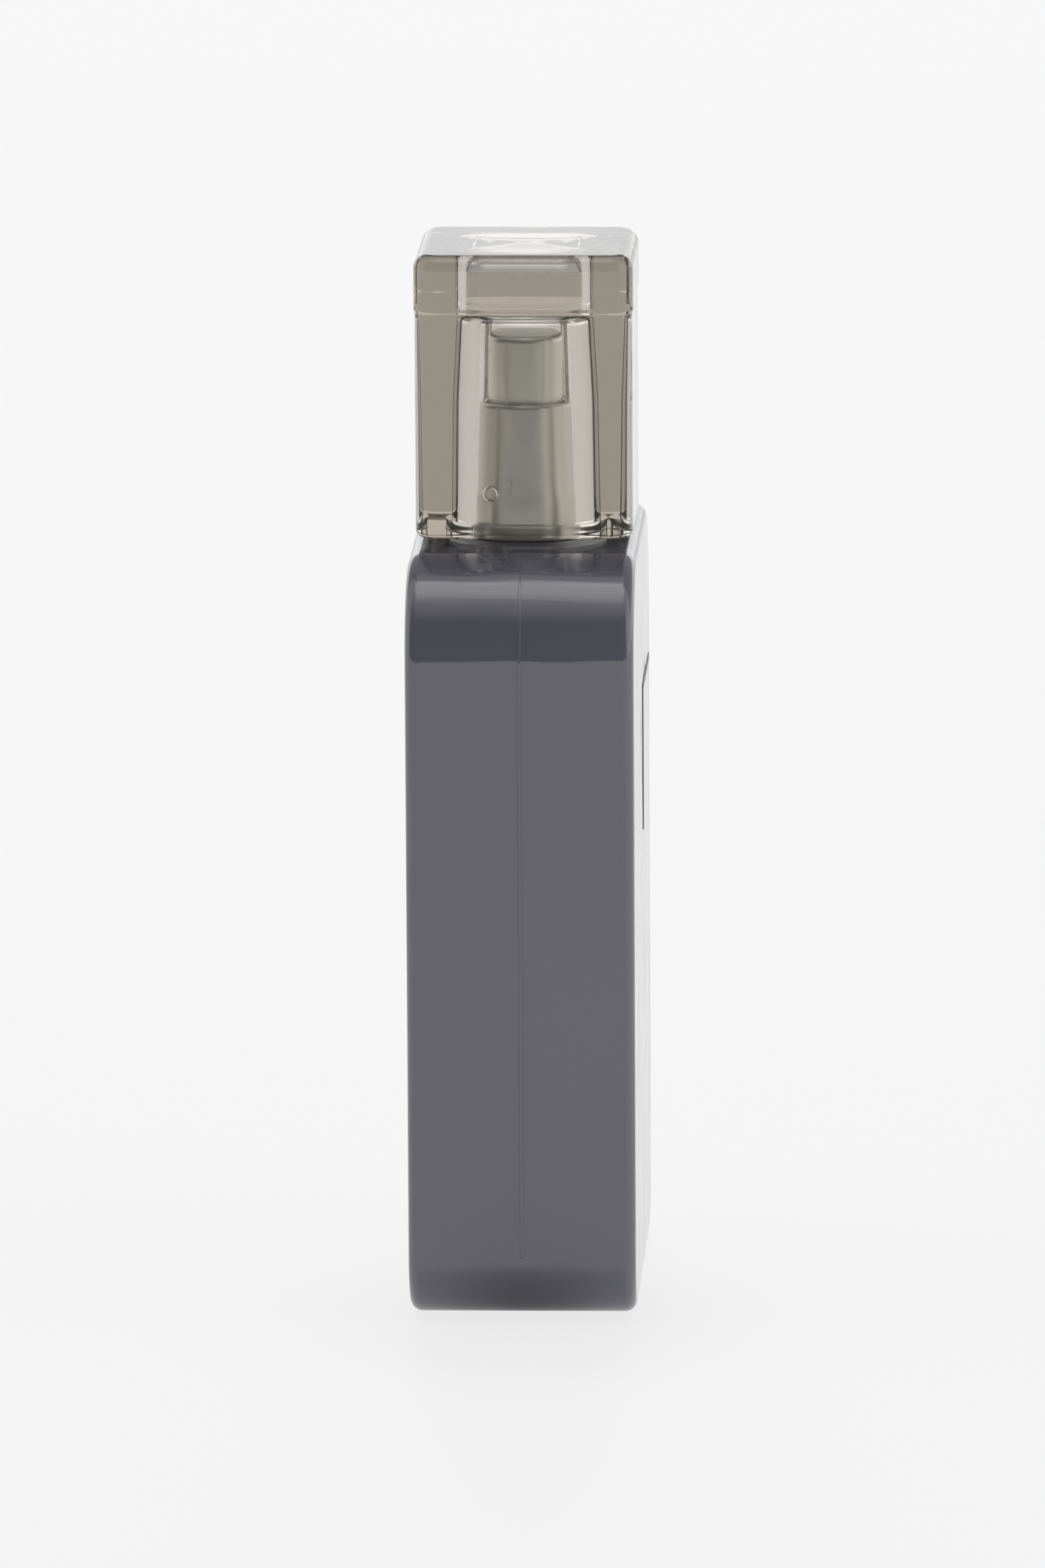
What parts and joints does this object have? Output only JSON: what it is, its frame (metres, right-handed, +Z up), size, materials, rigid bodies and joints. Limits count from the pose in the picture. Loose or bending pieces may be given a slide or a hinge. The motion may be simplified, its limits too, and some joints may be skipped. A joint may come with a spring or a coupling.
{
  "type": "aftershave bottle",
  "caption": "Flat rounded glass aftershave bottle with a crimped spray pump, satin metal collar and a thick smoked block cap that lifts off.",
  "frame": {"origin": "on the table, under the middle of the bottle's footprint", "axes": "+Z up the pump's axis, X along the bottle's wide way, Y along its thin way, the nozzle looking along -Y"},
  "size_m": [0.0602, 0.0281, 0.13],
  "materials": {
    "lacquered_glass": "glossy blue-grey lacquered glass, opaque",
    "liquid": "clear pale blue liquid",
    "print_ink": "dark satin screen print",
    "label_film": "blank pale film label",
    "seal_rubber": "soft matt rubber",
    "ferrule_aluminium": "bright rolled aluminium",
    "satin_metal": "satin anodised aluminium",
    "pump_plastic": "natural moulded plastic",
    "clear_tube": "clear tube",
    "ball_steel": "polished steel",
    "spring_steel": "drawn stainless wire",
    "piston_plastic": "soft white plastic",
    "insert_plastic": "dark moulded plastic",
    "smoked_cap": "polished warm smoked plastic, see-through"
  },
  "bodies": {
    "bottle": {"bottle_glass": "lacquered_glass", "aftershave_liquid": "liquid", "front_print": "print_ink", "base_label": "label_film", "neck_gasket": "seal_rubber", "crimp_ferrule": "ferrule_aluminium", "collar_sleeve": "satin_metal", "pump_housing": "pump_plastic", "housing_cap": "pump_plastic", "stem_washer": "seal_rubber", "dip_tube": "clear_tube", "return_spring": "spring_steel"},
    "plunger": {"stem": "pump_plastic", "stem_base": "pump_plastic", "piston": "piston_plastic"},
    "spray_head": {"actuator_core": "pump_plastic", "actuator_shell": "satin_metal", "spray_insert": "insert_plastic"},
    "check_ball": {"inlet_ball": "ball_steel"},
    "cap": {"cap": "smoked_cap", "cap_core": "smoked_cap"}
  },
  "joints": [
    {"name": "spray_press", "type": "slide", "parent": "bottle", "child": "plunger", "axis": [0, 0, -1], "range_m": [0, 0.0045], "stiffness_N_per_m": 1200, "springref_m": -0.004, "deforming": ["return_spring"]},
    {"name": "head_turn", "type": "hinge", "parent": "plunger", "child": "spray_head", "pos_m": [0, 0, 0.114], "axis": [0, 0, 1], "continuous": true},
    {"name": "ball_lift", "type": "slide", "parent": "bottle", "child": "check_ball", "axis": [0, 0, 1], "range_m": [0, 0.0007]},
    {"name": "cap_lift", "type": "slide", "parent": "bottle", "child": "cap", "axis": [0, 0, 1], "range_m": [0, 0.03]}
  ]
}
